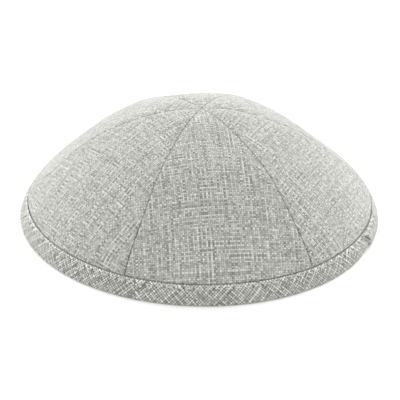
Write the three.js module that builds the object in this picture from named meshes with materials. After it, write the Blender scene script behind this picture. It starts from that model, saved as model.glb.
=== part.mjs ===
// A six-panel linen kippah lying on its rim: pointed cloth panels sewn edge to edge into a crown,
// and a tape folded round the rim. Millimetres, +Z up. The origin is the middle of the rim, on the
// surface that the fold rests on, and the middle of the front panel is towards -Y.
// Angles run round the crown from -Y towards +X. A run is a distance along the cloth, down from the
// apex. A depth is a distance inwards from the outer face of the crown.

import * as THREE from 'three';
import { mergeVertices } from 'three/addons/utils/BufferGeometryUtils.js';

// Crown
const rimRadius = 88;             // outer face of the panels at the rim, on a seam line
const crownHeight = 55.4;         // from the resting surface to the outer face at the apex
const apexLean = { x: -0.4, y: 2.6 };   // the slack crown leans back
const tipShift = 2.3;             // but its tips meet further forward, by this much
const tipReach = 18;              // radius over which the shift fades
const sidewaysStretch = 0.007;    // share that the rim is wider side to side, and narrower front to back

// Panels in order round the crown. Flatness is that of the cloth half way down: 0 is round from seam
// to seam, 1 is straight. The seam on a panel's right is turned round the crown by one angle, and
// bows by another half way down
const panels = [
  { side: 'front', flatness: 0.3, turnDeg: -0.4, bowDeg: 0.2 },
  { side: 'front_right', flatness: 0.3, turnDeg: 0, bowDeg: -7 },
  { side: 'back_right', flatness: 0.48, turnDeg: 0, bowDeg: -2 },
  { side: 'back', flatness: 0.1, turnDeg: 0, bowDeg: 0 },
  { side: 'back_left', flatness: 0.28, turnDeg: 0, bowDeg: 0 },
  { side: 'front_left', flatness: 0.3, turnDeg: 0, bowDeg: 0.8 },
];

// Panels' cloth
const panelWall = 1.4;            // linen with its backing
const seamAllowance = 6;          // turned back along each seam, inside
const allowanceWall = 1;
const seamRoll = 2;               // width over which the outer face rolls down into a seam
const seamDip = 0.8;              // how deep it rolls
const tipRun = 0.9;               // the points stop this far from the apex
const hemWall = 1;                // panel pressed flat inside the binding
const hemTuck = 2.5;              // run over which a panel sinks to the edge of the binding
const tuckClearance = 0.6;        // from there to the binding, along the cloth

// Binding
const bindingWidth = 9;           // from its folded edge to the rim, along the cloth
const bindingWall = 1;            // tape with its turned edge
const bindingProud = 0.6;         // how far it stands out of the panels
const bindingEdge = 0.4;          // rounding along both folded edges
const foldRadius = 0.9;           // rounding of the fold that the rim rests on

const pieceGap = 0.3;             // between pieces that touch

// Facets
const evenColumns = 4;            // from the middle of a panel to its seam allowance
const crownRows = 17;             // from the tip to where the panel sinks under the binding
const hemRows = 2;                // inside the binding
const legRows = 3;                // down each face of the binding
const foldSteps = 3;              // round each corner of the fold
const meridianSteps = 200;
const searchSteps = 40;           // halvings when a height is looked for along the cloth

// Fall of the crown along a seam line, by share of the run from apex to rim
const fall = [
  { share: 0.0, slopeDeg: 0 },
  { share: 0.2, slopeDeg: 16 },
  { share: 0.4, slopeDeg: 24 },
  { share: 0.6, slopeDeg: 41 },
  { share: 0.8, slopeDeg: 46 },
  { share: 1.0, slopeDeg: 71 },
];

// Widest shares of half a panel that the allowance and the roll take near its tip
const allowanceLimit = 0.5;
const rollLimit = 0.2;

const clothColour = 0xbfc0ba;
const bindingColour = 0xb4b5ae;

const panelAngle = 2 * Math.PI / panels.length;
const columnsPerSide = evenColumns + 2;
const meridian = new THREE.SplineCurve(traceMeridian());
const meridianLength = meridian.getLength();

// Depths and runs where the panels' hems lie in the binding
const bindingTop = meridianLength - bindingWidth;
const hemDepth = bindingWall - bindingProud + pieceGap;
const tuckEnd = bindingTop - tuckClearance;
const hemEnd = meridianLength - 2 * bindingWall - pieceGap;

// Radius and height down a seam line, from the fall of the crown
function traceMeridian() {
  const shares = fall.map((row) => row.share);
  const slopes = fall.map((row) => row.slopeDeg);
  const slope = new THREE.CubicInterpolant(shares, slopes, 1);
  const trace = [new THREE.Vector2(0, 0)];
  for (let step = 0; step < meridianSteps; step += 1) {
    const angle = THREE.MathUtils.degToRad(slope.evaluate((step + 0.5) / meridianSteps)[0]);
    const move = new THREE.Vector2(Math.cos(angle), -Math.sin(angle));
    trace.push(trace[step].clone().add(move));
  }
  const end = trace[meridianSteps];
  const across = rimRadius / end.x;
  const up = crownHeight / end.y;
  return trace.map((point) => new THREE.Vector2(point.x * across, crownHeight - point.y * up));
}

// Radius and height of a layer of the wall on a seam line
function wallPoint(run, depth) {
  const point = meridian.getPointAt(run / meridianLength);
  const down = meridian.getTangentAt(run / meridianLength);
  return new THREE.Vector2(point.x + depth * down.y, point.y - depth * down.x);
}

// Run at which a layer of the wall comes down to a height
function runAtHeight(height, depth) {
  let above = 0;
  let below = meridianLength;
  for (let step = 0; step < searchSteps; step += 1) {
    const middle = (above + below) / 2;
    if (wallPoint(middle, depth).y > height) {
      above = middle;
    } else {
      below = middle;
    }
  }
  return above;
}

// Share of the way out from the apex to the rim
function shareOut(radius) {
  return Math.min(radius / rimRadius, 1);
}

// Angle of the seam on the right of a sector. It strays most half way out
function seamAngle(sector, share) {
  const panel = panels[(sector + panels.length) % panels.length];
  const stray = panel.turnDeg + panel.bowDeg * Math.sin(Math.PI * share);
  return (sector + 0.5) * panelAngle + THREE.MathUtils.degToRad(stray);
}

// Angle from the middle of a panel to a column of vertices: even columns up to the seam allowance,
// then the edge of the roll, then the end of the cloth
function columnAngle(column, radius, halfAngle) {
  const place = Math.abs(column);
  const allowance = Math.min(seamAllowance / radius, halfAngle * allowanceLimit);
  const roll = Math.min(seamRoll / radius, halfAngle * rollLimit);
  let angle = halfAngle;
  if (place <= evenColumns) {
    angle = (halfAngle - allowance) * place / evenColumns;
  } else if (place < columnsPerSide) {
    angle = halfAngle - roll;
  }
  return Math.sign(column) * angle;
}

// Position on the formed crown of a column of a sector, stopped short of the seams by a gap.
// Between the seams the crown is flatter than round, its apex leans, and its tips are shifted
function crownPosition(sector, column, wall, seamGap) {
  const share = shareOut(wall.x);
  const left = seamAngle(sector - 1, share);
  const right = seamAngle(sector, share);
  const halfAngle = (right - left) / 2;
  const fromMiddle = columnAngle(column, wall.x, halfAngle - Math.asin(seamGap / wall.x));
  const angle = (left + right) / 2 + fromMiddle;
  const flatness = panels[sector].flatness * Math.sin(Math.PI * share);
  const straight = Math.cos(halfAngle) / Math.cos(fromMiddle);
  const stretch = 1 - sidewaysStretch * share * Math.cos(2 * angle);
  const radius = wall.x * (1 + flatness * (straight - 1)) * stretch;
  const forward = tipShift * Math.exp(-((wall.x / tipReach) ** 2));
  const x = radius * Math.sin(angle) + apexLean.x * (1 - share);
  const y = -radius * Math.cos(angle) + apexLean.y * (1 - share) - forward;
  return new THREE.Vector3(x, y, wall.y);
}

// Runs of a panel's rows of vertices, from its tip to its hem
function panelRuns() {
  const tuckStart = tuckEnd - hemTuck;
  const runs = [];
  for (let row = 0; row <= crownRows; row += 1) {
    runs.push(THREE.MathUtils.lerp(tipRun, tuckStart, row / crownRows));
  }
  for (let row = 0; row <= hemRows; row += 1) {
    runs.push(THREE.MathUtils.lerp(tuckEnd, hemEnd, row / hemRows));
  }
  return runs;
}

// Depth of a panel's outer or inner face at a column, above the binding or inside it
function panelDepth(column, isInner, isHem) {
  const place = Math.abs(column);
  if (isHem) {
    return isInner ? hemDepth + hemWall : hemDepth;
  }
  if (isInner) {
    return place > evenColumns ? panelWall + allowanceWall : panelWall;
  }
  return place === columnsPerSide ? seamDip : 0;
}

// Closed body with shared vertices
function closedBody(geometry) {
  geometry.deleteAttribute('normal');
  geometry.deleteAttribute('uv');
  const body = mergeVertices(geometry);
  body.computeVertexNormals();
  return body;
}

// One panel: a flat block of cloth, columns across and rows down, laid on its sector of the crown
function panelGeometry(sector) {
  const runs = panelRuns();
  const rows = runs.length - 1;
  const block = new THREE.BoxGeometry(2 * columnsPerSide, rows, 1, 2 * columnsPerSide, rows, 1);
  const position = block.attributes.position;
  for (let i = 0; i < position.count; i += 1) {
    const column = Math.round(position.getX(i));
    const row = Math.round(rows / 2 - position.getY(i));
    const depth = panelDepth(column, position.getZ(i) < 0, row > crownRows);
    const place = crownPosition(sector, column, wallPoint(runs[row], depth), pieceGap / 2);
    position.setXYZ(i, place.x, place.y, place.z);
  }
  return closedBody(block);
}

// One face of the binding's section, from the rounding of its folded edge down to a height
function legFace(depth, footHeight) {
  const top = bindingTop + bindingEdge;
  const foot = runAtHeight(footHeight, depth);
  const points = [];
  for (let row = 0; row <= legRows; row += 1) {
    points.push(wallPoint(THREE.MathUtils.lerp(top, foot, row / legRows), depth));
  }
  return points;
}

// Section of the binding: a tape folded up round the hems, with a flat foot
function bindingSection() {
  const channelOuter = bindingWall - bindingProud;
  const channelInner = hemDepth + hemWall + pieceGap;
  const outside = legFace(-bindingProud, foldRadius);
  const back = legFace(channelInner + bindingWall, foldRadius);
  const outerChannel = legFace(channelOuter, bindingWall);
  const innerChannel = legFace(channelInner, bindingWall);
  const outerTop = wallPoint(bindingTop, channelOuter - bindingWall / 2);
  const innerTop = wallPoint(bindingTop, channelInner + bindingWall / 2);
  const outerFoot = outside[legRows].x;
  const innerFoot = back[legRows].x;

  const section = new THREE.Path();
  section.setFromPoints([...innerChannel.reverse(), innerTop, ...back]);
  section.quadraticCurveTo(innerFoot, 0, innerFoot + foldRadius, 0);
  section.lineTo(outerFoot - foldRadius, 0);
  section.quadraticCurveTo(outerFoot, 0, outerFoot, foldRadius);
  for (const point of [...outside.reverse().slice(1), outerTop, ...outerChannel]) {
    section.lineTo(point.x, point.y);
  }
  section.lineTo(innerChannel[0].x, innerChannel[0].y);
  return section.getPoints(foldSteps);
}

// The binding: its section turned round the rim, with the same columns as the panels
function bindingGeometry() {
  const columns = panels.length * 2 * columnsPerSide;
  const ring = new THREE.LatheGeometry(bindingSection(), columns);
  ring.rotateX(Math.PI / 2);
  const position = ring.attributes.position;
  for (let i = 0; i < position.count; i += 1) {
    const x = position.getX(i);
    const y = position.getY(i);
    const wall = new THREE.Vector2(Math.hypot(x, y), position.getZ(i));
    const turn = Math.round((Math.atan2(x, -y) / (2 * Math.PI) + 1) * columns + columnsPerSide);
    const sector = Math.floor(turn / (2 * columnsPerSide)) % panels.length;
    const column = turn % (2 * columnsPerSide) - columnsPerSide;
    const place = crownPosition(sector, column, wall, 0);
    position.setXYZ(i, place.x, place.y, place.z);
  }
  return closedBody(ring);
}

function clothMaterial(color) {
  return new THREE.MeshStandardMaterial({ color, roughness: 0.95, metalness: 0 });
}

const kippah = new THREE.Group();

panels.forEach((row, sector) => {
  const panel = new THREE.Mesh(panelGeometry(sector), clothMaterial(clothColour));
  panel.name = `panel_${row.side}`;
  kippah.add(panel);
});

const binding = new THREE.Mesh(bindingGeometry(), clothMaterial(bindingColour));
binding.name = 'rim_binding';
kippah.add(binding);

export default kippah;
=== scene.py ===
# A six-panel linen kippah on a pale floor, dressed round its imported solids.
# Lengths in the dictionaries are millimetres unless they say otherwise. Angles run round the
# crown from the front (-Y) towards +X. A run is a distance down the cloth from the apex, and a
# depth a distance inwards from the outer face of the crown.
import math

import bpy
import numpy as np
from mathutils import Matrix, Vector


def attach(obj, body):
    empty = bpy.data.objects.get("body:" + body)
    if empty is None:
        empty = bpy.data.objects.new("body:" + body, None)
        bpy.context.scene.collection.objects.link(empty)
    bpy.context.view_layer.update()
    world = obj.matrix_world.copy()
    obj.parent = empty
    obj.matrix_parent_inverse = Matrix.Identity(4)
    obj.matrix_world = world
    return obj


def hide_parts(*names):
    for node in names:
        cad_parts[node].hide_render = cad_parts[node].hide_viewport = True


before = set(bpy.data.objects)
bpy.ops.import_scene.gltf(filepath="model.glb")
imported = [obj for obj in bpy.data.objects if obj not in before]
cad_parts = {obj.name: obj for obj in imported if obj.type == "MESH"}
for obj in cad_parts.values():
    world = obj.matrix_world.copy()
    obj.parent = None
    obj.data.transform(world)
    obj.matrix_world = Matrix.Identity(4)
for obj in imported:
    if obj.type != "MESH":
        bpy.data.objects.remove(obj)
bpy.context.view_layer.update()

metre = 0.001
tau = 2 * math.pi


# How the crown is cut and hangs

crown = {
    "rimRadius": 88.0,
    "height": 55.4,
    "leanX": -0.4,
    "leanY": 2.6,
    "tipForward": 2.3,  # how far the panels' tips meet in front of the crown's middle
    "tipReach": 18.0,
    "sideways": 0.007,  # share that the rim is wider than deep
    "slopes": [0, 16, 24, 41, 46, 71],  # degrees, at even shares of the run from apex to rim
    "steps": 400,
}

# each panel's flatness, how its right seam bows and turns, in degrees round the crown, and
# how deeply that seam creases
panels = [
    {"name": "front", "flatness": 0.3, "bow": 0.2, "turn": -0.4, "crease": 1.0},
    {"name": "front_right", "flatness": 0.3, "bow": -7, "turn": 0, "crease": 0.15},
    {"name": "back_right", "flatness": 0.48, "bow": -2, "turn": 0, "crease": 0.5},
    {"name": "back", "flatness": 0.1, "bow": 0, "turn": 0, "crease": 0.5},
    {"name": "back_left", "flatness": 0.28, "bow": 0, "turn": 0, "crease": 0.15},
    {"name": "front_left", "flatness": 0.3, "bow": 0.8, "turn": 0, "crease": 1.0},
]


def slopeAt(share):
    # smooth curve through the slopes, each piece a cubic between two of them
    slopes = np.radians(crown["slopes"])
    last = len(slopes) - 1
    at = np.clip(share * last, 0, last - 1e-9)
    low = np.floor(at).astype(int)
    part = at - low
    before = slopes[np.where(low > 0, low - 1, low + 1)]
    start, end = slopes[low], slopes[low + 1]
    after = slopes[np.where(low < last - 1, low + 2, low)]
    return (
        before * (-0.5 * part**3 + part**2 - 0.5 * part)
        + start * (1.5 * part**3 - 2.5 * part**2 + 1)
        + end * (-1.5 * part**3 + 2 * part**2 + 0.5 * part)
        + after * (0.5 * part**3 - 0.5 * part**2)
    )


def traceFall():
    # run, radius and height from the apex down to the rim
    steps = crown["steps"]
    slope = slopeAt((np.arange(steps) + 0.5) / steps)
    out = np.r_[0, np.cumsum(np.cos(slope))]
    down = np.r_[0, np.cumsum(np.sin(slope))]
    out = out / out[-1] * crown["rimRadius"]
    up = crown["height"] * (1 - down / down[-1])
    run = np.r_[0, np.cumsum(np.hypot(np.diff(out), np.diff(up)))]
    return run, out, up


fallRun, fallOut, fallUp = traceFall()
fallLength = fallRun[-1]
tangentOut = np.gradient(fallOut, fallRun)
tangentUp = np.gradient(fallUp, fallRun)
wholeRim = tau * crown["rimRadius"]


def wallPoint(run, depth):
    # radius and height of a layer of the wall on a seam line
    alongOut = np.interp(run, fallRun, tangentOut)
    alongUp = np.interp(run, fallRun, tangentUp)
    radius = np.interp(run, fallRun, fallOut) + depth * alongUp
    height = np.interp(run, fallRun, fallUp) - depth * alongOut
    return radius, height


def rimShare(radius):
    return np.minimum(radius / crown["rimRadius"], 1)


def seamAngle(sector, share):
    # of the seam at the right of a panel
    panel = panels[sector % 6]
    bow = math.radians(panel["bow"]) * np.sin(math.pi * share)
    return (sector + 0.5) * tau / 6 + math.radians(panel["turn"]) + bow


def onCrown(sector, fromMiddle, middle, half, radius, height):
    # place on the formed crown, at an angle from the middle of a panel
    share = rimShare(radius)
    angle = middle + fromMiddle
    flatness = panels[sector % 6]["flatness"] * np.sin(math.pi * share)
    straight = np.cos(half) / np.cos(fromMiddle)
    stretch = 1 - crown["sideways"] * share * np.cos(2 * angle)
    reach = radius * (1 + flatness * (straight - 1)) * stretch
    x = reach * np.sin(angle) + crown["leanX"] * (1 - share)
    forward = crown["tipForward"] * np.exp(-((radius / crown["tipReach"]) ** 2))
    y = -reach * np.cos(angle) + crown["leanY"] * (1 - share) - forward
    return np.stack([x, y, height + 0 * x], -1)


def waves(seed, count, shortest, longest):
    # a soft uneven field over x and y, from seeded sine waves
    dice = np.random.default_rng(seed)
    turns = dice.uniform(0, tau, count)
    starts = dice.uniform(0, tau, count)
    lengths = dice.uniform(shortest, longest, count)

    def field(x, y):
        total = 0 * x
        for turn, start, length in zip(turns, starts, lengths):
            along = x * math.cos(turn) + y * math.sin(turn)
            total = total + np.sin(tau * along / length + start)
        return total / math.sqrt(count)

    return field


def smooth(value, low, high):
    # 0 up to low, 1 from high on, and a soft step between
    part = np.clip((value - low) / (high - low), 0, 1)
    return part * part * (3 - 2 * part)


def makePiece(name, places, faces, cloth, row, sheet, material):
    # a mesh in metres. Each corner has its place on the bake sheet (0 to 1), on the cloth (mm),
    # and along and beside a row of stitches (mm)
    mesh = bpy.data.meshes.new(name)
    mesh.from_pydata((places * metre).tolist(), [], faces.tolist())
    for mapName, values in (("OFBake", sheet), ("clothMap", cloth), ("rowMap", row)):
        layer = mesh.uv_layers.new(name=mapName)
        layer.data.foreach_set("uv", values.astype(np.float32).ravel())
    mesh.materials.append(material)
    mesh.shade_smooth()
    mesh.update()
    piece = bpy.data.objects.new(name, mesh)
    bpy.context.scene.collection.objects.link(piece)
    return piece


farFromRow = 50.0  # mm beside a row of stitches, for faces that get none of its painted shade


# Shader maths written as expressions


class Wire:
    def __init__(self, tree, socket):
        self.tree = tree
        self.socket = socket

    def node(self, kind, settings, values, output=0):
        made = self.tree.nodes.new(kind)
        for key, setting in settings.items():
            setattr(made, key, setting)
        for key, value in values.items():
            if isinstance(value, Wire):
                self.tree.links.new(value.socket, made.inputs[key])
            else:
                made.inputs[key].default_value = value
        return Wire(self.tree, made.outputs[output])

    def output(self, number):
        # another output of the same node
        return Wire(self.tree, self.socket.node.outputs[number])

    def feed(self, socket):
        self.tree.links.new(self.socket, socket)

    def maths(self, operation, first, second=0.0):
        return self.node("ShaderNodeMath", {"operation": operation}, {0: first, 1: second})

    def __add__(self, other):
        return self.maths("ADD", self, other)

    def __sub__(self, other):
        return self.maths("SUBTRACT", self, other)

    def __mul__(self, other):
        return self.maths("MULTIPLY", self, other)

    def __truediv__(self, other):
        return self.maths("DIVIDE", self, other)

    def __rsub__(self, other):
        return self.maths("SUBTRACT", other, self)

    __radd__ = __add__

    def floor(self):
        return self.maths("FLOOR", self)

    def clamp(self, low, high):
        values = {"Value": self, "Min": low, "Max": high}
        return self.node("ShaderNodeClamp", {}, values)

    def blend(self, start, end):
        values = {0: self, 2: start, 3: end}
        return self.node("ShaderNodeMix", {"data_type": "FLOAT"}, values)

    def mapped(self, mapName):
        return self.node("ShaderNodeUVMap", {"uv_map": mapName}, {})

    def parts(self):
        return self.node("ShaderNodeSeparateXYZ", {}, {0: self})

    def beside(self, other):
        return self.node("ShaderNodeCombineXYZ", {}, {0: self, 1: other})

    def noise(self, scale=1.0, output=0):
        # soft noise over a place, as a number or, from output 1, a colour
        values = {"Vector": self, "Scale": scale, "Detail": 1.0}
        return self.node("ShaderNodeTexNoise", {"noise_dimensions": "2D"}, values, output)

    def chance(self):
        # a fixed random number for each whole number
        return self.node("ShaderNodeTexWhiteNoise", {"noise_dimensions": "1D"}, {"W": self})


def newMaterial(name):
    material = bpy.data.materials.new(name)
    material.use_nodes = True
    tree = material.node_tree
    return material, tree.nodes["Principled BSDF"].inputs, Wire(tree, None)


# The linen

linen = {
    "pitch": 0.92,  # between threads
    "wander": 0.15,  # how far threads stray from straight
    "wanderLength": 14.0,
    "uneven": 0.5,  # how far thick and thin threads push each other aside
    "unevenLength": 2.4,
    "slubLength": 24.0,  # of the light and dark stretches of a thread
    "slubStep": 7.31,  # through the noise, from one thread to the next
    "slubContrast": 1.0,
    "threadContrast": 0.3,  # between one thread and the next
    "besideContrast": 0.7,  # how far a pale thread makes the one beside it look dark
    "weftShare": 0.8,  # contrast of the weft against the warp
    "knotContrast": 0.6,  # between one crossing and the next
    "crossContrast": 0.1,  # weft over warp
    "fibreContrast": 0.5,
    "fibreAlong": 0.9,  # flecks for each mm along a thread
    "fibreAcross": 5.0,
    "deepest": -0.5,  # limits of a thread's tone
    "palest": 0.45,
    "gapShade": 0.35,  # painted shade of the holes between threads
    "edgeShade": 0.2,  # painted shade along the sides of a thread
    "leastShade": 0.05,
    "threadHeight": 0.2,
    "crestHeight": 0.6,  # this and the next two are shares of the thread's height
    "fibreHeight": 0.4,
    "toneHeight": 0.6,
    "colour": (0.496, 0.5, 0.468),
    "paleBlue": 0.13,  # how much less yellow the pale threads are
    "roughness": 0.85,
    "toneRoughness": 0.1,
    "specular": 0.3,
    "sheen": 0.25,
    "sheenRoughness": 0.5,
    "stitchShadeSpacing": 3.2,  # painted shade in a seam's crease, darker at each stitch
    "stitchShadeLength": 5.0,  # times its width
    "stitchShadeRadius": 0.7,
    "stitchShadeStrength": 0.4,
    "stitchShadeEvenness": 0.3,  # share of the painted shade that every stitch has
    "foldHighlight": 0.0,  # painted highlight along a folded edge
    "foldMiddle": 0.95,
    "foldReach": 0.85,
    "warpSeed": 3.7,
    "weftSeed": 91.3,
    "warpCrowdingSeed": 5.0,
    "weftCrowdingSeed": 41.0,
    "stitchShadeSeed": 17.0,
}


def linenMaterial(name, spec):
    material, inputs, wire = newMaterial(name)

    cloth = wire.mapped("clothMap")
    place = cloth.parts()
    drift = cloth.noise(1 / spec["wanderLength"], 1)
    driftParts = wire.node("ShaderNodeSeparateColor", {}, {0: drift})
    across = place + (driftParts - 0.5) * (4 * spec["wander"])
    down = place.output(1) + (driftParts.output(1) - 0.5) * (4 * spec["wander"])

    def crowding(where, seed):
        # thick and thin threads side by side
        noise = wire.node(
            "ShaderNodeTexNoise",
            {"noise_dimensions": "1D"},
            {"W": where / spec["unevenLength"] + seed, "Scale": 1.0, "Detail": 1.0},
        )
        return where + (noise - 0.5) * (2 * spec["uneven"])

    across = crowding(across, spec["warpCrowdingSeed"])
    down = crowding(down, spec["weftCrowdingSeed"])

    warpAt = across / spec["pitch"]
    weftAt = down / spec["pitch"]
    warp = warpAt.floor()
    weft = weftAt.floor()
    warpSide = warpAt - warp - 0.5
    weftSide = weftAt - weft - 0.5
    warpOver = wire.maths("FLOORED_MODULO", warp + weft, 2.0)

    def ownTone(thread, along, seed):
        # a tone of the thread's own, and paler and darker stretches down its length
        own = (thread + seed).chance()
        slub = (thread * spec["slubStep"] + seed).beside(along / spec["slubLength"]).noise()
        return (own - 0.5) * spec["threadContrast"] + (slub - 0.5) * spec["slubContrast"]

    def threadTone(thread, along, seed):
        nextTone = ownTone(thread + 1.0, along, seed) * spec["besideContrast"]
        return ownTone(thread, along, seed) - nextTone

    knot = wire.node(
        "ShaderNodeTexWhiteNoise", {"noise_dimensions": "2D"}, {"Vector": warp.beside(weft)}
    )
    warpTone = threadTone(warp, down, spec["warpSeed"]) - spec["crossContrast"]
    weftTone = threadTone(weft, across, spec["weftSeed"])
    weftTone = weftTone * spec["weftShare"] + spec["crossContrast"]
    tone = warpOver.blend(weftTone, warpTone) + (knot - 0.5) * spec["knotContrast"]
    tone = tone.clamp(spec["deepest"], spec["palest"])

    overSide = warpOver.blend(weftSide, warpSide)
    overAlong = warpOver.blend(warpSide, weftSide)
    fibreAlong = warpOver.blend(across, down) * spec["fibreAlong"]
    fibreAcross = warpOver.blend(down, across) * spec["fibreAcross"]
    fibre = fibreAlong.beside(fibreAcross).noise()
    rounding = 1 - overSide * overSide * 4
    crest = 1 - overAlong * overAlong * 4
    height = rounding * (crest * spec["crestHeight"] + (1 - spec["crestHeight"]))
    height = height + (fibre - 0.5) * spec["fibreHeight"]
    # painted shade: the holes between threads and the sides of each thread are darkened in the
    # colour
    pit = wire.maths("ABSOLUTE", warpSide * weftSide * 4)
    shade = 1 - pit * spec["gapShade"] - (1 - rounding) * spec["edgeShade"]
    shade = shade.clamp(spec["leastShade"], 1.0)
    light = (1 + tone + (fibre - 0.5) * spec["fibreContrast"]) * shade

    # painted shade at a row of stitches, oval and uneven, and a painted highlight on the folded
    # edge above them
    alongRow = wire.mapped("rowMap").parts()
    besideRow = alongRow.output(1) / spec["stitchShadeRadius"]
    beat = alongRow / spec["stitchShadeSpacing"] + 0.5
    stitch = beat.floor()
    # each stitch's painted shade gets a random strength
    pull = (stitch + spec["stitchShadeSeed"]).chance()
    pull = pull * (1 - spec["stitchShadeEvenness"]) + spec["stitchShadeEvenness"]
    stitchShadeLength = spec["stitchShadeRadius"] * spec["stitchShadeLength"]
    beat = (beat - stitch - 0.5) * (spec["stitchShadeSpacing"] / stitchShadeLength)
    stitchShade = (1 - beat * beat - besideRow * besideRow).clamp(0.0, 1.0) * pull
    # painted highlight on the folded edge, where the rounded edge faces the light
    foldHighlightMask = (alongRow.output(1) + spec["foldMiddle"]) / spec["foldReach"]
    foldHighlightMask = (1 - foldHighlightMask * foldHighlightMask).clamp(0.0, 1.0)
    light = light * (1 - stitchShade * spec["stitchShadeStrength"] + foldHighlightMask * spec["foldHighlight"])

    red, green, blue = spec["colour"]
    coolness = (light - 1) * spec["paleBlue"] + 1
    channels = {0: light * red, 1: light * green, 2: light * coolness * blue}
    bump = {
        "Distance": spec["threadHeight"] * metre,
        "Height": height + tone * spec["toneHeight"],
    }
    wire.node("ShaderNodeCombineColor", {}, channels).feed(inputs["Base Color"])
    (spec["roughness"] + tone * spec["toneRoughness"]).feed(inputs["Roughness"])
    wire.node("ShaderNodeBump", {}, bump).feed(inputs["Normal"])
    inputs["Sheen Weight"].default_value = spec["sheen"]
    inputs["Sheen Roughness"].default_value = spec["sheenRoughness"]
    inputs["Specular IOR Level"].default_value = spec["specular"]
    return material


panelLinen = linenMaterial("panelLinen", linen)
tapeLinen = linenMaterial(
    "tapeLinen",
    {
        **linen,
        "pitch": 1.0,
        "slubContrast": 1.35,
        "threadContrast": 0.42,
        "crossContrast": 0.03,
        "gapShade": 0.9,
        "edgeShade": 0.28,
        "colour": (0.565, 0.57, 0.533),
        # painted highlight on the tape's folded edge
        "foldHighlight": 0.33,
        "stitchShadeSpacing": 4.5,  # painted shade in the needle holes
        "stitchShadeLength": 1.0,
        "stitchShadeRadius": 0.6,
        "stitchShadeStrength": 0.75,
    },
)
print("linen mixed")


# The six panels

panelCloth = {
    "wall": 1.3,
    "allowanceWall": 0.9,
    "allowanceEnd": [5.5, 6.1],  # from the seam, of the cloth turned back under it
    "roll": 0.9,  # radius of the edge that turns down into a seam
    "softRoll": 0.35,  # share of it where a seam has no crease
    "seamGap": 0.1,  # between the two sides of a seam
    "tipRun": 0.35,
    "puff": 0.18,  # rise beside a seam
    "puffAt": 3.2,
    "puffReach": 2.2,
    "valley": 0.7,  # how far the cloth sinks at a seam, round the tips
    "valleyReach": 4.5,
    "valleyTop": 10.0,
    "valleyEnd": 50.0,
    "highCrease": 0.42,  # share of its crease that a seam has above the runs where it grows
    "creaseGrows": [55, 105],
    "tipCrease": 0.9,  # least crease of all seams at the tips
    "tipCreaseFades": [8, 34],
    "stitch": 3.2,  # spacing of the seam's stitches
    "pucker": 0.07,
    "puckerReach": 1.4,
    "stitchShadeReach": 0.7,  # how much narrower a seam's painted shade is where it has no crease
    "swell": 0.12,  # of the slack cloth
    "swellSeed": 11,
    "swellCount": 9,
    "swellLengths": [34, 70],
    "swellFromSeam": 18.0,  # where the swells are whole
    "swellFromTape": 16.0,
    "swellFromTip": [6, 30],
    "dent": 0.9,  # how far the slack crown sinks behind the apex, on the left
    "dentAt": [-10.0, 40.0],  # to the right and back of the crown's middle
    "dentReach": 14.0,
    "bindingWidth": 9.0,
    "hemDepth": 0.6,
    "hemWall": 0.9,
    "hemClearance": 0.1,
    "hemEndAt": 2.3,  # above the rim, along the cloth
    "hemRows": 3,
    "tuck": 0.8,  # run over which the hem dips under the tape
    "tuckRows": 6,
    "rowStep": 0.85,
    # columns at these distances from a seam, then even ones
    "seamColumns": [
        0, 0.1, 0.25, 0.45, 0.7, 1.0, 1.35, 1.8,
        2.4, 3.1, 3.9, 4.7, 5.4, 5.8, 6.2, 7.0,
    ],
    "seamShare": 0.7,  # most of half a panel's width that they take
    "middleColumns": 34,
    "cutStep": [143.0, 67.0],  # across and down the bolt, from one panel to the next
}

# how the flat cloth lies on a bake sheet: outer face beside inner face, edges in strips on top
panelSheet = {
    "wide": 200.0,
    "tall": 122.0,
    "middle": 50.0,  # of the outer face
    "margin": 0.02,  # this and the next three are shares of the sheet
    "stripsAt": 0.86,
    "stripStep": 0.03,
    "stripLength": 0.95,
    "stripHeight": 1.5,
}

tapeTop = fallLength - panelCloth["bindingWidth"]
tuckEnd = tapeTop - panelCloth["hemClearance"]
tuckStart = tuckEnd - panelCloth["tuck"]


def panelRuns():
    spec = panelCloth
    upper = np.linspace(spec["tipRun"], tuckStart, int(tuckStart / spec["rowStep"]))
    lower = np.linspace(tuckStart, tuckEnd, spec["tuckRows"] + 1)[1:]
    hem = np.linspace(tuckEnd, fallLength - spec["hemEndAt"], spec["hemRows"] + 1)[1:]
    return np.r_[upper, lower, hem]


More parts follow.
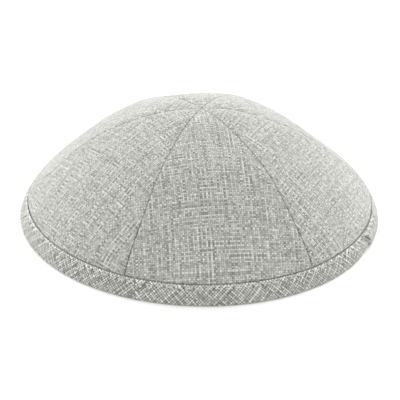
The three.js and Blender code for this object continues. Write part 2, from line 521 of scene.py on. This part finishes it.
def panelPlaces(sector, isInner):
    spec = panelCloth
    runs = panelRuns()[:, None]
    fixed = np.array(spec["seamColumns"])
    radius, _ = wallPoint(runs, 0 * runs)
    share = rimShare(radius)
    left, right = seamAngle(sector - 1, share), seamAngle(sector, share)
    middle, half = (left + right) / 2, (right - left) / 2
    halfWidth = radius * half

    # distance of each column from its seam, closer together where the panel is narrow
    squeeze = np.minimum(1, spec["seamShare"] * halfWidth / fixed[-1])
    fromSeam = np.broadcast_to(fixed[None, :], (len(runs), len(fixed))) * squeeze
    even = np.linspace(0, 1, spec["middleColumns"] + 1)[1:]
    inward = fromSeam[:, -1:] + (halfWidth - fromSeam[:, -1:]) * even[None, :]
    toSeam = np.concatenate([fromSeam, inward], 1)
    toSeam = np.concatenate([toSeam, toSeam[:, -2::-1]], 1)
    count = toSeam.shape[1]
    side = np.where(np.arange(count) < count // 2, -1, 1)
    gap = spec["seamGap"] / 2
    fromMiddle = side * np.maximum(halfWidth - toSeam - gap, 0) / radius
    x = side * (halfWidth - toSeam)  # across the flat cloth
    y = np.broadcast_to(runs, x.shape)

    # the edges that roll into the seams
    crease = np.where(side < 0, panels[sector - 1]["crease"], panels[sector]["crease"])
    grown = smooth(y, *spec["creaseGrows"])
    crease = crease * (spec["highCrease"] + (1 - spec["highCrease"]) * grown)
    atTip = 1 - smooth(y, *spec["tipCreaseFades"])
    crease = np.maximum(crease, spec["tipCrease"] * atTip)
    roll = spec["roll"] * squeeze * (spec["softRoll"] + (1 - spec["softRoll"]) * crease)
    inRoll = np.clip(1 - toSeam / roll, 0, 1)
    depth = roll * (1 - np.sqrt(np.maximum(1 - inRoll**2, 0)))

    # the rise beside a seam, the valley round the tips and the pull of each stitch
    seamSide = np.exp(-(((toSeam - spec["puffAt"]) / spec["puffReach"]) ** 2)) * squeeze
    depth = depth - spec["puff"] * seamSide
    nearTip = 1 - smooth(y, spec["valleyTop"], spec["valleyEnd"])
    depth = depth + spec["valley"] * np.exp(-((toSeam / spec["valleyReach"]) ** 2)) * nearTip
    stitchPull = 0.5 + 0.5 * np.cos(tau * y / spec["stitch"])
    pulled = stitchPull * np.exp(-toSeam / spec["puckerReach"]) * squeeze
    depth = depth + spec["pucker"] * pulled

    # slack swells, and the dent behind the apex
    swell = waves(spec["swellSeed"] + sector, spec["swellCount"], *spec["swellLengths"])(x, y)
    fade = smooth(toSeam, 0, spec["swellFromSeam"]) * smooth(y, *spec["swellFromTip"])
    fade = fade * smooth(tapeTop - y, 0, spec["swellFromTape"])
    depth = depth + spec["swell"] * swell * fade
    angle = middle + fromMiddle
    dentX, dentY = spec["dentAt"]
    away = np.hypot(radius * np.sin(angle) - dentX, -radius * np.cos(angle) - dentY)
    depth = depth + spec["dent"] * np.exp(-((away / spec["dentReach"]) ** 2))

    # the hem goes under the tape
    hemDepth = spec["hemDepth"]
    if isInner:
        folded = 1 - smooth(toSeam / squeeze, *spec["allowanceEnd"])
        wall = spec["wall"] + spec["allowanceWall"] * folded
        depth = depth * (toSeam > roll) + wall
        hemDepth = hemDepth + spec["hemWall"]
    inTuck = smooth(y, tuckStart, tuckEnd)
    depth = depth * (1 - inTuck) + hemDepth * inTuck
    layerRadius, height = wallPoint(runs + 0 * x, depth)
    places = onCrown(sector, fromMiddle, middle, half, layerRadius, height)
    # where a seam's painted shade lies
    besideRow = toSeam + spec["stitchShadeReach"] * np.sqrt(1 - crease)

    # the threads are straight on the flat cloth, so they dip away from the apex beside the middle
    bend = np.interp(runs, fallRun, tangentOut) / radius
    grain = np.stack([x * (1 - (x * bend) ** 2 / 6), y - x**2 * bend / 2], -1)
    return places, x, y, besideRow, grain


def gridFaces(rows, columns, start, flip):
    at = start + np.arange(rows * columns).reshape(rows, columns)
    corners = [at[:-1, :-1], at[1:, :-1], at[1:, 1:], at[:-1, 1:]]
    if flip:
        corners = corners[::-1]
    return np.stack(corners, -1).reshape(-1, 4)


def edgeLoop(rows, columns):
    at = np.arange(rows * columns).reshape(rows, columns)
    return np.r_[at[0, :-1], at[:-1, -1], at[-1, :0:-1], at[:0:-1, 0]]


def makePanel(sector):
    name = "panel_" + panels[sector]["name"]
    outer, x, y, beside, grain = panelPlaces(sector, False)
    inner = panelPlaces(sector, True)[0]
    rows, columns = x.shape
    size = rows * columns
    places = np.concatenate([outer.reshape(-1, 3), inner.reshape(-1, 3)])
    loop = edgeLoop(rows, columns)
    nextLoop = np.roll(loop, -1)
    rim = np.stack([loop, nextLoop, nextLoop + size, loop + size], -1)
    outerFaces = gridFaces(rows, columns, 0, False)
    innerFaces = gridFaces(rows, columns, size, True)
    faces = np.concatenate([outerFaces, innerFaces, rim])
    corners = faces.ravel()

    cutAt = sector * np.array(panelCloth["cutStep"])
    cloth = np.tile(grain.reshape(-1, 2), (2, 1)) + cutAt
    row = np.stack([y.ravel(), beside.ravel()], -1)
    row = np.concatenate([row, row + [0, farFromRow]])

    spec = panelSheet
    wide, middle, margin = spec["wide"], spec["middle"], spec["margin"]
    sheetX = np.r_[x.ravel() + middle, wide - middle - x.ravel()] / wide
    sheetY = np.tile(y.ravel(), 2) / spec["tall"]
    sheet = np.stack([sheetX, sheetY + margin], -1)[corners]
    # the narrow edge faces get strips of their own on the sheet
    edge = (len(outerFaces) + len(innerFaces)) * 4
    flat = np.stack([x.ravel(), y.ravel()], -1)
    along = np.r_[0, np.cumsum(np.hypot(*np.diff(flat[loop], axis=0).T))]
    stripStart, stripEnd = along, np.r_[along[1:], along[-1] + 1]
    strip = np.stack([stripStart, stripEnd, stripEnd, stripStart], -1).ravel()
    level = np.tile([0, 0, spec["stripHeight"], spec["stripHeight"]], len(loop))
    perStrip = wide * spec["stripLength"]
    number = np.floor(strip.reshape(-1, 4).min(1) / perStrip).repeat(4)
    sheet[edge:, 0] = margin + (strip - number * perStrip) / wide * (1 - margin)
    sheet[edge:, 1] = spec["stripsAt"] + number * spec["stripStep"] + level / spec["tall"]

    piece = makePiece(
        name + "_cloth", places, faces, cloth[corners], row[corners], sheet, panelLinen
    )
    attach(piece, "root")
    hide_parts(name)
    width = float(x.max() - x.min()) * metre
    length = float(y.max() - y.min()) * metre
    area = np.abs(np.trapz(x[:, -1] - x[:, 0], y[:, 0]))
    return piece, width, length, float(area) * metre**2


cutPanels = [makePanel(sector) for sector in range(6)]
print("panels cut:", [len(piece.data.polygons) for piece, *_ in cutPanels])


# The tape round the rim

tape = {
    "wall": 0.8,
    "proud": 0.45,  # how far its outer face stands out from the crown
    "hemSlack": 0.2,  # between the hems and the tape's inner half
    "flare": 0.15,  # further out at the foot
    "edge": 0.3,  # rounding of the folded edges
    "bevel": 0.4,  # how much the folded edge is drawn down to the crown
    "bevelReach": 0.5,
    "foot": 0.9,  # rounding of the fold
    "stitchLine": 1.5,  # below the folded edge
    "stitch": 4.5,
    "stitchGroove": 0.2,
    "grooveReach": 0.5,
    "needleDip": 0.5,
    "needlePower": 12,  # the higher, the shorter the dips
    "puff": 0.16,
    "puffFrom": 2.0,  # below the folded edge
    "puffLength": 6.0,
    "ripple": 0.05,
    "rippleLength": 7.3,
    "rippleFrom": 1.0,
    "rippleFade": 3.0,
    "reliefFrom": 0.8,  # height where the relief is whole, so the foot stays flat
    "columnStep": 0.75,
    "cornerRows": 3,
    "footRows": 4,
    "edgeRows": [0, 0.25, 0.5],  # run past the rounded edge
    "faceFrom": 0.8,
    "faceRows": 20,
    "channelRows": 6,
    "biasTurn": 45,
    "lapAngle": 61.4,  # where the tape's ends meet at the rim, degrees round the crown
    "lowerPull": 1.6,  # how far the end that lies under is pulled in, at the foot
    "lowerPullFade": 30.0,
    "upperPull": 1.7,
    "upperPullFade": 18.0,
    "pullTop": 3.5,  # below the folded edge, where the pull begins
    "bite": 1.7,  # a further dent of the lower end, beside the lap
    "biteFade": 4.5,
    "biteRise": 2.3,
    "lapHeight": 1.05,
    "lapFade": 9.0,
    "lapFrom": 0.2,  # height where the lap is whole
    "lapSlope": 0.72,  # mm round the rim for each mm up
    "lapShear": 20.0,
    "lapColumns": [0, 0.1, 0.3, 0.6, 1.0],
}

# the tape's length lies on its bake sheet in strips, one above the other
tapeSheet = {"strips": 4, "margin": 0.01, "length": 0.97, "height": 0.23}

outsideFace, insideFace, channelFace = 0, 1, 2  # tags of the section's points
innerChannel = panelCloth["hemDepth"] + panelCloth["hemWall"] + tape["hemSlack"]
innerDepth = innerChannel + tape["wall"]  # of the tape's inner face


def runAtHeight(height, depth):
    # run at which a layer of the wall comes down to a height
    runs = np.linspace(tapeTop, fallLength, crown["steps"])
    _, heights = wallPoint(runs, depth + 0 * runs)
    return float(np.interp(-height, -heights, runs))


def tapeSection():
    # radius, height, run and face of each point round the tape
    spec = tape
    outerChannel = spec["wall"] - spec["proud"]
    foot, edge = spec["foot"], spec["edge"]
    drawnIn = spec["bevel"] * math.exp(-edge / spec["bevelReach"])
    rows = []

    def at(run, depth):
        return np.array(wallPoint(run, depth))

    def corner(a, b, c, run, tag, count):
        # rounded from a to c, round b
        for part in np.linspace(0, 1, count + 2)[1:-1]:
            place = (1 - part) ** 2 * a + 2 * part * (1 - part) * b + part**2 * c
            rows.append([*place, run, tag])

    def edgeFold(channel, face, tag):
        # half round, from the channel over the folded edge to the face
        middle = at(tapeTop, (channel + face) / 2)
        count = spec["cornerRows"]
        start, end = at(tapeTop + edge, channel), at(tapeTop + edge, face)
        corner(start, at(tapeTop, channel), middle, tapeTop, channelFace, count)
        rows.append([*middle, tapeTop, tag])
        corner(middle, at(tapeTop, face), end, tapeTop, tag, count)

    def face(depth, flare, tag):
        top, bottom = tapeTop + edge, runAtHeight(foot, depth)
        even = np.linspace(top + spec["faceFrom"], bottom, spec["faceRows"])
        for run in np.r_[top + np.array(spec["edgeRows"]), even]:
            drawn = spec["bevel"] * np.exp((tapeTop - run) / spec["bevelReach"])
            out = flare * (run - top) / (bottom - top) - drawn
            rows.append([*at(run, depth - out), run, tag])

    edgeFold(outerChannel, -spec["proud"] + drawnIn, outsideFace)
    face(-spec["proud"], spec["flare"], outsideFace)
    front = np.array(rows[-1][:2])
    heel = at(runAtHeight(foot, innerDepth), innerDepth)
    frontFoot, heelFoot = np.array([front[0] - foot, 0]), np.array([heel[0] + foot, 0])
    footRows = spec["footRows"]
    corner(front, np.array([front[0], 0]), frontFoot, fallLength, outsideFace, footRows)
    rows.append([*frontFoot, fallLength, outsideFace])
    rows.append([(front[0] + heel[0]) / 2, 0, fallLength, insideFace])
    rows.append([*heelFoot, fallLength, insideFace])
    corner(heelFoot, np.array([heel[0], 0]), heel, fallLength, insideFace, footRows)
    back = len(rows)
    edgeFold(innerChannel, innerDepth, insideFace)
    face(innerDepth, 0, insideFace)
    rows[back:] = rows[back:][::-1]
    for depth, down in ((innerChannel, True), (outerChannel, False)):
        bottom = runAtHeight(spec["wall"], depth)
        runs = np.linspace(tapeTop + edge, bottom, spec["channelRows"])
        for run in runs if down else runs[::-1]:
            rows.append([*at(run, depth), run, channelFace])
    return np.array(rows)


def onRim(angle, radius, height):
    # a place on the crown, whichever panel it is on
    share = rimShare(radius)
    places = np.zeros(angle.shape + (3,))
    for sector in range(6):
        left, right = seamAngle(sector - 1, share), seamAngle(sector, share)
        middle, half = (left + right) / 2, (right - left) / 2
        near = np.mod(angle - left, tau) + left
        there = onCrown(sector, near - middle, middle, half, radius, height)
        places = np.where((near < right)[..., None], there, places)
    return places


def fromLap(around, run):
    # the ends are cut aslant, so columns near them lean
    apart = np.minimum(around, wholeRim - around) / tape["lapShear"]
    return around - tape["lapSlope"] * np.exp(-(apart**2)) * (fallLength - run)


def tapeLift(around, run):
    # how far the tape stands out or in where it is stitched
    spec = tape
    below = run - tapeTop
    groove = np.exp(-(((below - spec["stitchLine"]) / spec["grooveReach"]) ** 2))
    dip = np.cos(math.pi * around / spec["stitch"]) ** spec["needlePower"]
    puffed = np.clip((below - spec["puffFrom"]) / spec["puffLength"], 0, 1)
    puff = spec["puff"] * np.sin(math.pi * puffed)
    ripple = spec["ripple"] * np.sin(tau * (around - below) / spec["rippleLength"])
    ripple = ripple * np.clip((below - spec["rippleFrom"]) / spec["rippleFade"], 0, 1)
    return puff + ripple - groove * (spec["stitchGroove"] + spec["needleDip"] * dip)


def tapePlace(around, run, radius, height, lift):
    # place from a point of the section, moved out along the wall by the lift
    spec = tape
    lower = around - wholeRim  # from the end that lies under, back
    pull = spec["lowerPull"] * np.exp(lower / spec["lowerPullFade"])
    pull = pull + spec["upperPull"] * np.exp(-around / spec["upperPullFade"])
    bite = spec["bite"] * np.exp(lower / spec["biteFade"])
    drawn = pull * smooth(run, tapeTop + spec["pullTop"], fallLength)
    drawn = drawn + bite * smooth(run, fallLength - spec["biteRise"], fallLength)
    radius = radius - drawn - lift * np.interp(run, fallRun, tangentUp)
    height = height + lift * np.interp(run, fallRun, tangentOut)
    angle = math.radians(spec["lapAngle"]) + fromLap(around, run) / crown["rimRadius"]
    places = onRim(angle, radius, height)
    places[..., 2] = np.maximum(places[..., 2], 0)
    return places


def makeTape():
    spec = tape
    section = tapeSection()
    # columns close together by the tape's ends, even ones between
    ends = np.array(spec["lapColumns"])
    step = spec["columnStep"]
    even = np.arange(2 * step, wholeRim - 1.5 * step, step)
    stops = np.r_[ends, even, wholeRim - ends[:0:-1]]
    steps = len(stops)
    around = stops[None, :] + 0 * section[:, :1]
    radius, height, run, tag = [section[:, part][:, None] + 0 * around for part in range(4)]
    isOutside = tag == outsideFace
    relief = tapeLift(around, run) * np.clip(height / spec["reliefFrom"], 0, 1)
    lap = spec["lapHeight"] * np.exp(-around / spec["lapFade"]) * isOutside
    lift = relief + lap * np.clip(height / spec["lapFrom"], 0, 1)
    lift = lift * (tag != channelFace)
    places = tapePlace(around, run, radius, height, np.where(isOutside, lift, -lift))

    rows = len(section)
    at = np.arange(rows * steps).reshape(rows, steps)
    nextRow, nextColumn = np.roll(at, -1, 0), np.roll(at, -1, 1)
    both = np.roll(nextRow, -1, 1)
    faces = np.stack([at, nextRow, both, nextColumn], -1).reshape(-1, 4)

    # the cloth runs round the section and along the rim, turned to the bias
    girth = np.r_[0, np.cumsum(np.hypot(*np.diff(section[:, :2], axis=0).T))]
    closing = girth[-1] + np.hypot(*(section[0, :2] - section[-1, :2]))
    girths = np.stack([girth, np.r_[girth[1:], closing]])[[0, 1, 1, 0]]
    girths = np.broadcast_to(girths.T[:, None, :], (rows, steps, 4)).reshape(-1)
    leant = fromLap(around, run)
    leantEnd = fromLap(wholeRim + 0 * run[:, :1], run[:, :1])
    leantNext = np.concatenate([leant[:, 1:], leantEnd], 1)
    below, belowNext = np.roll(leant, -1, 0), np.roll(leantNext, -1, 0)
    alongs = np.stack([leant, below, belowNext, leantNext], -1).reshape(-1)
    turn = math.radians(spec["biasTurn"])
    clothX = alongs * math.cos(turn) + girths * math.sin(turn)
    clothY = -alongs * math.sin(turn) + girths * math.cos(turn)
    cloth = np.stack([clothX, clothY], -1)

    stopNext = np.r_[stops[1:], wholeRim]
    flat = np.stack([stops, stops, stopNext, stopNext], -1)
    flat = np.broadcast_to(flat[None], (rows, steps, 4)).reshape(-1)
    strips, margin = tapeSheet["strips"], tapeSheet["margin"]
    stripLength = wholeRim / strips
    strip = np.floor(flat.reshape(-1, 4).min(1) / stripLength + 1e-6)
    strip = np.minimum(strip, strips - 1).repeat(4)
    sheetX = margin + (flat - strip * stripLength) / stripLength * tapeSheet["length"]
    sheetY = margin + strip / strips + girths / closing * tapeSheet["height"]
    sheet = np.stack([sheetX, sheetY], -1)

    beside = np.where(tag == channelFace, farFromRow, run - tapeTop - spec["stitchLine"])
    beside = np.stack([beside, np.roll(beside, -1, 0)])[[0, 1, 1, 0]]
    row = np.stack([flat, np.moveaxis(beside, 0, -1).reshape(-1)], -1)
    piece = makePiece(
        "rim_binding_tape", places.reshape(-1, 3), faces, cloth, row, sheet, tapeLinen
    )
    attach(piece, "root")
    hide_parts("rim_binding")
    return piece


binding = makeTape()
print("tape folded round the rim:", len(binding.data.polygons))


# The topstitching that holds the tape

topstitch = {
    "thread": 0.36,  # thickness
    "length": 3.9,  # of the thread that shows between two needle holes
    "crest": 0.1,  # how far the middle of a stitch stands out
    "dive": 0.5,
    "divePower": 4,  # the higher, the steeper the thread goes down into its holes
    "pinch": 0.4,  # share of its thickness that it loses there
    "pinchPower": 8,
    "slant": 0.12,
    "around": 6,
    "rings": 9,
    "colour": (0.66, 0.665, 0.62),
    "twistAlong": 9.0,  # radians for each mm
    "twistAcross": 5.0,
    "twistShade": 0.12,
    "twistDepth": 0.05,
    "roughness": 0.7,
    "sheen": 0.3,
    "cellShare": 0.9,  # how much of its cell on the bake sheet a stitch takes
}


def threadMaterial():
    spec = topstitch
    material, inputs, wire = newMaterial("sewingThread")
    place = wire.mapped("clothMap").parts()
    twist = place * spec["twistAlong"] + place.output(1) * spec["twistAcross"]
    twist = wire.maths("SINE", twist)
    shades = {0: spec["colour"], 3: 1 + twist * spec["twistShade"]}
    bump = {"Distance": spec["twistDepth"] * metre, "Height": twist}
    wire.node("ShaderNodeVectorMath", {"operation": "SCALE"}, shades).feed(inputs["Base Color"])
    wire.node("ShaderNodeBump", {}, bump).feed(inputs["Normal"])
    inputs["Roughness"].default_value = spec["roughness"]
    inputs["Sheen Weight"].default_value = spec["sheen"]
    return material


def makeTopstitch(name, depth, outward, material):
    spec = topstitch
    count = int(wholeRim / tape["stitch"])
    rings, sides = spec["rings"], spec["around"]
    middle = (np.arange(count)[:, None, None] + 0.5) * tape["stitch"]
    part = np.linspace(-1, 1, rings)[None, :, None]
    turn = np.arange(sides)[None, None, :] / sides * tau
    thick = spec["thread"] / 2 * (1 - spec["pinch"] * part ** spec["pinchPower"])
    around = middle + part * spec["length"] / 2 + 0 * turn
    run = tapeTop + tape["stitchLine"] + spec["slant"] * part + thick * np.cos(turn) + 0 * middle
    arch = spec["crest"] - spec["dive"] * part ** spec["divePower"] - tape["stitchGroove"]
    lift = arch + thick * np.sin(turn)
    if outward > 0:
        lift = lift + tape["lapHeight"] * np.exp(-around / tape["lapFade"])
    radius, height = wallPoint(run, depth + 0 * run)
    places = tapePlace(around, run, radius, height, outward * lift)

    at = np.arange(count * rings * sides).reshape(count, rings, sides)
    side = np.roll(at, -1, 2)
    tube = np.stack([at[:, :-1], side[:, :-1], side[:, 1:], at[:, 1:]], -1).reshape(-1, 4)
    faces = tube if outward > 0 else tube[:, ::-1]
    stripe = turn * spec["thread"] / 2 + 0 * around
    cloth = np.stack([around.ravel(), stripe.ravel()], -1)[faces.ravel()]

    # each stitch has a square cell of the bake sheet
    cell = np.indices((count, rings - 1, sides)).reshape(3, -1)
    cells = int(math.ceil(math.sqrt(count)))
    share = spec["cellShare"]
    left = (cell[0] % cells + cell[1] / (rings - 1) * share) / cells
    low = (cell[0] // cells + cell[2] / sides * share) / cells
    wide, tall = share / (rings - 1) / cells, share / sides / cells
    order = np.array([[0, 0], [0, 1], [1, 1], [1, 0]])
    if outward < 0:
        order = order[::-1]
    sheetX, sheetY = left[:, None] + order[:, 0] * wide, low[:, None] + order[:, 1] * tall
    sheet = np.stack([sheetX, sheetY], -1).reshape(-1, 2)
    piece = makePiece(name, places.reshape(-1, 3), faces, cloth, cloth, sheet, material)
    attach(piece, "root")
    return piece


sewingThread = threadMaterial()
stitchRows = [
    makeTopstitch("topstitching_outside", -tape["proud"], 1, sewingThread),
    makeTopstitch("topstitching_inside", innerDepth, -1, sewingThread),
]
print("tape stitched down")


# Camera, floor and light

shot = {
    "azimuth": -7.321,
    "elevation": 27.0,
    "roll": 1.38,
    "turnHeight": 18.9,  # mm, of the point that the camera is turned round
    "distance": 537.71,
    "aimHeight": 4.98,
    "aimAside": -0.117,
    "lens": 98.11,
    "sensor": 36.0,
    "clip": [0.01, 20.0],  # metres
}


def direction(azimuth, elevation):
    # from the middle towards a place, both in degrees
    turn, rise = math.radians(azimuth), math.radians(elevation)
    flat = math.cos(rise)
    return Vector((math.sin(turn) * flat, -math.cos(turn) * flat, math.sin(rise)))


back = direction(shot["azimuth"], shot["elevation"])
aside = direction(shot["azimuth"] + 90, 0)
eye = Vector((0, 0, shot["turnHeight"])) + back * shot["distance"]
aim = Vector((0, 0, shot["aimHeight"])) + aside * shot["aimAside"]
ahead = (aim - eye).normalized()
level = ahead.cross(Vector((0, 0, 1))).normalized()
upright = level.cross(ahead)
roll = math.radians(shot["roll"])
right = level * math.cos(roll) + upright * math.sin(roll)
up = upright * math.cos(roll) - level * math.sin(roll)
lens = bpy.data.cameras.new("lens")
lens.lens, lens.sensor_width = shot["lens"], shot["sensor"]
lens.clip_start, lens.clip_end = shot["clip"]
camera = bpy.data.objects.new("camera", lens)
turned = Matrix((right, up, -ahead)).transposed().to_4x4()
camera.matrix_world = Matrix.Translation(eye * metre) @ turned
bpy.context.scene.collection.objects.link(camera)
bpy.context.scene.camera = camera

studio = {
    "floorSide": 8.0,  # metres
    "floorColour": (0.94, 0.94, 0.94, 1),
    "floorRoughness": 0.9,
    "domeColour": (1, 1, 1, 1),
    "dome": 0.98,
    "lampSize": 0.9,  # this and the next in metres
    "lampDistance": 1.2,
    "lamps": [
        {"name": "backRight", "watts": 10.9, "azimuth": 135, "elevation": 15},
        {"name": "backLeft", "watts": 12.3, "azimuth": 225, "elevation": 15},
        {"name": "overRight", "watts": 4.2, "azimuth": 135, "elevation": 60},
    ],
}

floorPaint, inputs, _ = newMaterial("floorPaint")
inputs["Base Color"].default_value = studio["floorColour"]
inputs["Roughness"].default_value = studio["floorRoughness"]
inputs["Specular IOR Level"].default_value = 0.0
half = studio["floorSide"] / 2
floorCorners = [(-half, -half, 0), (half, -half, 0), (half, half, 0), (-half, half, 0)]
floorMesh = bpy.data.meshes.new("floor")
floorMesh.from_pydata(floorCorners, [], [(0, 1, 2, 3)])
floorMesh.materials.append(floorPaint)
floor = bpy.data.objects.new("floor", floorMesh)
bpy.context.scene.collection.objects.link(floor)

for spec in studio["lamps"]:
    light = bpy.data.lights.new(spec["name"], "AREA")
    light.shape, light.size, light.energy = "DISK", studio["lampSize"], spec["watts"]
    lamp = bpy.data.objects.new(spec["name"], light)
    way = direction(spec["azimuth"], spec["elevation"])
    lamp.location = way * studio["lampDistance"]
    lamp.visible_camera = False
    lamp.rotation_euler = way.to_track_quat("Z", "Y").to_euler()
    bpy.context.scene.collection.objects.link(lamp)

world = bpy.data.worlds.new("dome")
world.use_nodes = True
world.node_tree.nodes["Background"].inputs["Color"].default_value = studio["domeColour"]
world.node_tree.nodes["Background"].inputs["Strength"].default_value = studio["dome"]
bpy.context.scene.world = world
bpy.context.scene.view_settings.view_transform = "Standard"
print("camera, floor and lights set")
